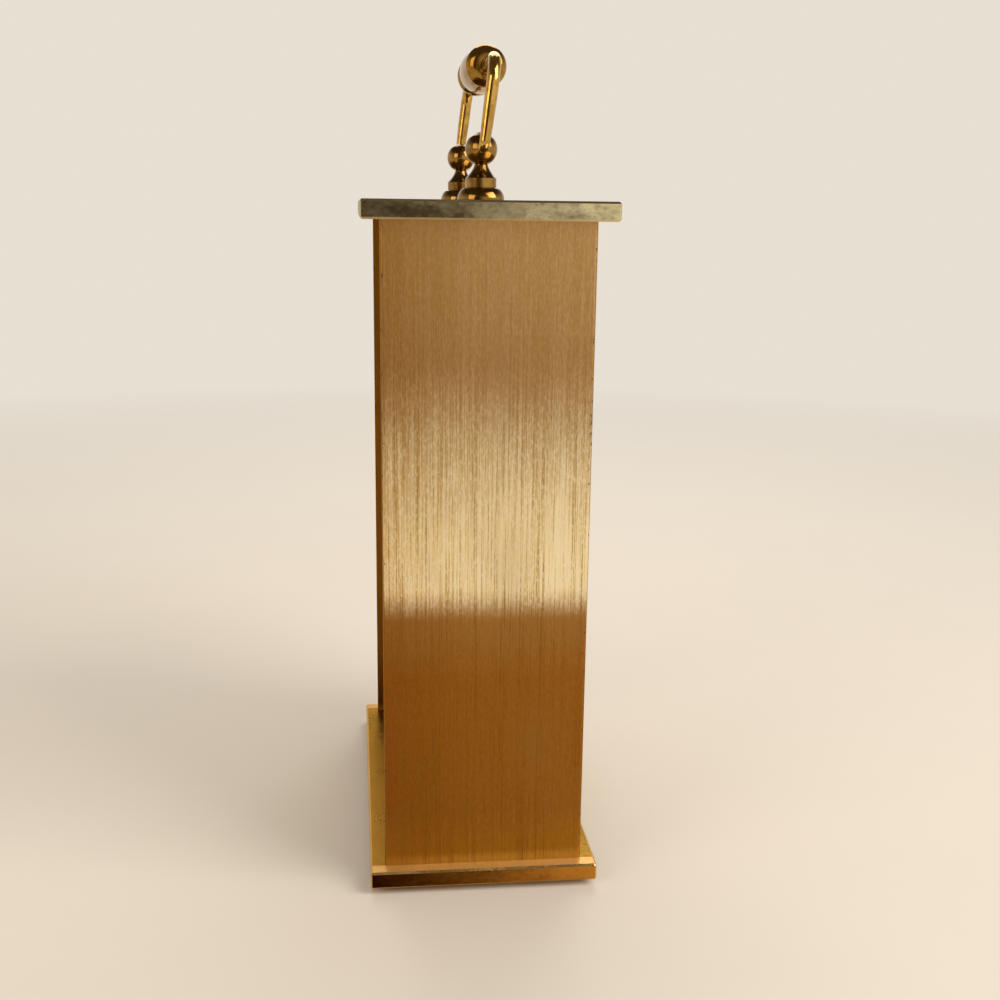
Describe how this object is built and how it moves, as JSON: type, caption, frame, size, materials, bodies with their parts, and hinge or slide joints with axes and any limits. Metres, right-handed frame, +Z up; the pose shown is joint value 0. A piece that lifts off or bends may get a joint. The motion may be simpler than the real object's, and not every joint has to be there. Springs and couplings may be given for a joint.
{
  "type": "carriage alarm clock",
  "caption": "Slim wind-up alarm clock in a rectangular brass case with overhanging base and top plates and a swinging bail handle on two ball-headed posts.",
  "frame": {"origin": "on the surface that the four feet stand on, under the middle of the case", "axes": "+Z up, -Y towards the dial side, +Y towards the winding side, +X towards the right-hand panel as seen from the dial side"},
  "size_m": [0.0834, 0.0424, 0.15],
  "materials": {
    "brass_plate": "aged, satin",
    "brushed_brass": "brushed upright, aged",
    "case_brass": "satin",
    "polished_brass": "polished",
    "movement_brass": "satin",
    "steel": "turned",
    "spring_steel": "blued",
    "bell_steel": "bright",
    "glass": "clear",
    "dial_enamel": "matt off-white",
    "spacer_metal": "satin",
    "hand_black": "black",
    "foot_rubber": "matt"
  },
  "bodies": {
    "case": {"base_plate": "brass_plate", "top_plate": "brass_plate", "feet": "foot_rubber", "side_panel_left": "brushed_brass", "side_panel_right": "brushed_brass", "case_pillars": "case_brass", "case_screws": "steel", "front_mask": "case_brass", "glass": "glass", "spacer_frame": "spacer_metal", "dial_plate": "dial_enamel", "back_cover": "case_brass", "back_cover_screws": "steel", "handle_posts": "polished_brass", "handle_post_nuts": "steel", "movement_front_plate": "movement_brass", "movement_rear_plate": "movement_brass", "movement_pillars": "movement_brass", "movement_screws": "steel", "rear_spacers": "movement_brass", "hairspring": "spring_steel", "bell": "bell_steel", "bell_post": "steel"},
    "handle": {"handle_bail": "polished_brass", "handle_grip": "polished_brass"},
    "hand_setting": {"centre_arbor": "steel", "cannon_pinion": "movement_brass", "minute_hand": "hand_black", "hand_set_knob": "polished_brass"},
    "minute_wheel": {"minute_wheel": "movement_brass"},
    "hour_hand_and_wheel": {"hour_wheel": "movement_brass", "hour_hand": "hand_black"},
    "alarm_idler": {"alarm_idler": "movement_brass"},
    "alarm_wheel": {"alarm_wheel": "movement_brass"},
    "alarm_setting": {"alarm_arbor": "steel", "alarm_hand": "hand_black", "alarm_set_knob": "polished_brass"},
    "time_winding": {"time_barrel_arbor": "steel", "time_ratchet_wheel": "steel", "time_winding_key": "polished_brass"},
    "time_barrel": {"time_barrel": "movement_brass", "time_mainspring": "spring_steel"},
    "time_click": {"time_click": "steel"},
    "centre_wheel": {"centre_wheel": "movement_brass"},
    "third_wheel": {"third_wheel": "movement_brass"},
    "fourth_wheel": {"fourth_wheel": "movement_brass"},
    "escape_wheel": {"escape_wheel": "movement_brass"},
    "pallet_lever": {"pallet_lever": "steel"},
    "balance": {"balance_wheel": "movement_brass"},
    "regulator": {"regulator_lever": "steel"},
    "alarm_winding": {"alarm_barrel_arbor": "steel", "alarm_ratchet_wheel": "steel", "alarm_winding_key": "polished_brass"},
    "alarm_barrel": {"alarm_barrel": "movement_brass", "alarm_mainspring": "spring_steel"},
    "alarm_click": {"alarm_click": "steel"},
    "alarm_escape_wheel": {"alarm_escape_wheel": "movement_brass"},
    "alarm_hammer": {"alarm_hammer": "steel"},
    "alarm_stop": {"alarm_stop_button": "polished_brass"}
  },
  "joints": [
    {"name": "handle_swing", "type": "hinge", "parent": "case", "child": "handle", "pos_m": [0, 0, 0.1312], "axis": [-1, 0, 0], "range_deg": [-112.4, 97.6]},
    {"name": "hand_setting_turn", "type": "hinge", "parent": "case", "child": "hand_setting", "pos_m": [0, 0, 0.075], "axis": [0, 1, 0], "continuous": true},
    {"name": "minute_wheel_turn", "type": "hinge", "parent": "case", "child": "minute_wheel", "pos_m": [0.00481, 0, 0.08334], "axis": [0, 1, 0], "continuous": true},
    {"name": "hour_hand_turn", "type": "hinge", "parent": "case", "child": "hour_hand_and_wheel", "pos_m": [0, 0, 0.075], "axis": [0, 1, 0], "continuous": true},
    {"name": "alarm_idler_turn", "type": "hinge", "parent": "case", "child": "alarm_idler", "pos_m": [0, 0, 0.055], "axis": [0, 1, 0], "continuous": true},
    {"name": "alarm_wheel_turn", "type": "hinge", "parent": "case", "child": "alarm_wheel", "pos_m": [0, 0, 0.035], "axis": [0, 1, 0], "continuous": true},
    {"name": "alarm_setting_turn", "type": "hinge", "parent": "case", "child": "alarm_setting", "pos_m": [0, 0, 0.035], "axis": [0, 1, 0], "continuous": true},
    {"name": "time_winding_turn", "type": "hinge", "parent": "case", "child": "time_winding", "pos_m": [-0.01362, 0, 0.06185], "axis": [0, 1, 0], "continuous": true},
    {"name": "alarm_winding_turn", "type": "hinge", "parent": "case", "child": "alarm_winding", "pos_m": [0.0155, 0, 0.034], "axis": [0, 1, 0], "continuous": true},
    {"name": "fourth_wheel_turn", "type": "hinge", "parent": "case", "child": "fourth_wheel", "pos_m": [0.01844, 0, 0.08526], "axis": [0, 1, 0], "continuous": true},
    {"name": "third_wheel_turn", "type": "hinge", "parent": "case", "child": "third_wheel", "pos_m": [0.00677, 0, 0.08774], "axis": [0, 1, 0], "continuous": true},
    {"name": "centre_wheel_turn", "type": "hinge", "parent": "case", "child": "centre_wheel", "pos_m": [0, 0, 0.075], "axis": [0, 1, 0], "continuous": true},
    {"name": "time_barrel_turn", "type": "hinge", "parent": "case", "child": "time_barrel", "pos_m": [-0.01362, 0, 0.06185], "axis": [0, 1, 0], "continuous": true},
    {"name": "escape_wheel_turn", "type": "hinge", "parent": "case", "child": "escape_wheel", "pos_m": [0.02032, 0, 0.0746], "axis": [0, 1, 0], "continuous": true},
    {"name": "pallet_lever_rock", "type": "hinge", "parent": "case", "child": "pallet_lever", "pos_m": [0.0213, 0, 0.06908], "axis": [0, 1, 0], "range_deg": [-4, 4]},
    {"name": "balance_swing", "type": "hinge", "parent": "case", "child": "balance", "pos_m": [0.0213, 0, 0.05958], "axis": [0, 1, 0], "range_deg": [-220, 220], "stiffness_Nm_per_rad": 0.0000036},
    {"name": "regulator_swing", "type": "hinge", "parent": "case", "child": "regulator", "pos_m": [0.0213, 0, 0.05958], "axis": [0, 1, 0], "range_deg": [-15, 15]},
    {"name": "time_click_lift", "type": "hinge", "parent": "case", "child": "time_click", "pos_m": [-0.02055, 0, 0.06585], "axis": [0, 1, 0], "range_deg": [-12, 0], "stiffness_Nm_per_rad": 0.00001, "springref_deg": 17.19},
    {"name": "alarm_click_lift", "type": "hinge", "parent": "case", "child": "alarm_click", "pos_m": [0.02302, 0, 0.03674], "axis": [0, 1, 0], "range_deg": [0, 12], "stiffness_Nm_per_rad": 0.00001, "springref_deg": -17.19},
    {"name": "alarm_barrel_turn", "type": "hinge", "parent": "case", "child": "alarm_barrel", "pos_m": [0.0155, 0, 0.034], "axis": [0, 1, 0], "continuous": true},
    {"name": "alarm_escape_wheel_turn", "type": "hinge", "parent": "case", "child": "alarm_escape_wheel", "pos_m": [0.00883, 0, 0.02447], "axis": [0, 1, 0], "continuous": true},
    {"name": "alarm_hammer_swing", "type": "hinge", "parent": "case", "child": "alarm_hammer", "pos_m": [0.00343, 0, 0.02447], "axis": [0, 1, 0], "range_deg": [0, 3.2]},
    {"name": "alarm_stop_slide", "type": "slide", "parent": "case", "child": "alarm_stop", "axis": [0, -1, 0], "range_m": [0, 0.0025]}
  ],
  "couplings": [
    {"joint": "minute_wheel_turn", "follows": "hand_setting_turn", "ratio": -0.33333},
    {"joint": "hour_hand_turn", "follows": "hand_setting_turn", "ratio": 0.083333},
    {"joint": "alarm_idler_turn", "follows": "hand_setting_turn", "ratio": -0.052083},
    {"joint": "alarm_wheel_turn", "follows": "hand_setting_turn", "ratio": 0.083333},
    {"joint": "third_wheel_turn", "follows": "fourth_wheel_turn", "ratio": -0.13333},
    {"joint": "centre_wheel_turn", "follows": "fourth_wheel_turn", "ratio": 0.016667},
    {"joint": "time_barrel_turn", "follows": "fourth_wheel_turn", "ratio": -0.0027778},
    {"joint": "escape_wheel_turn", "follows": "fourth_wheel_turn", "ratio": -8},
    {"joint": "alarm_escape_wheel_turn", "follows": "alarm_barrel_turn", "ratio": -6.25}
  ]
}
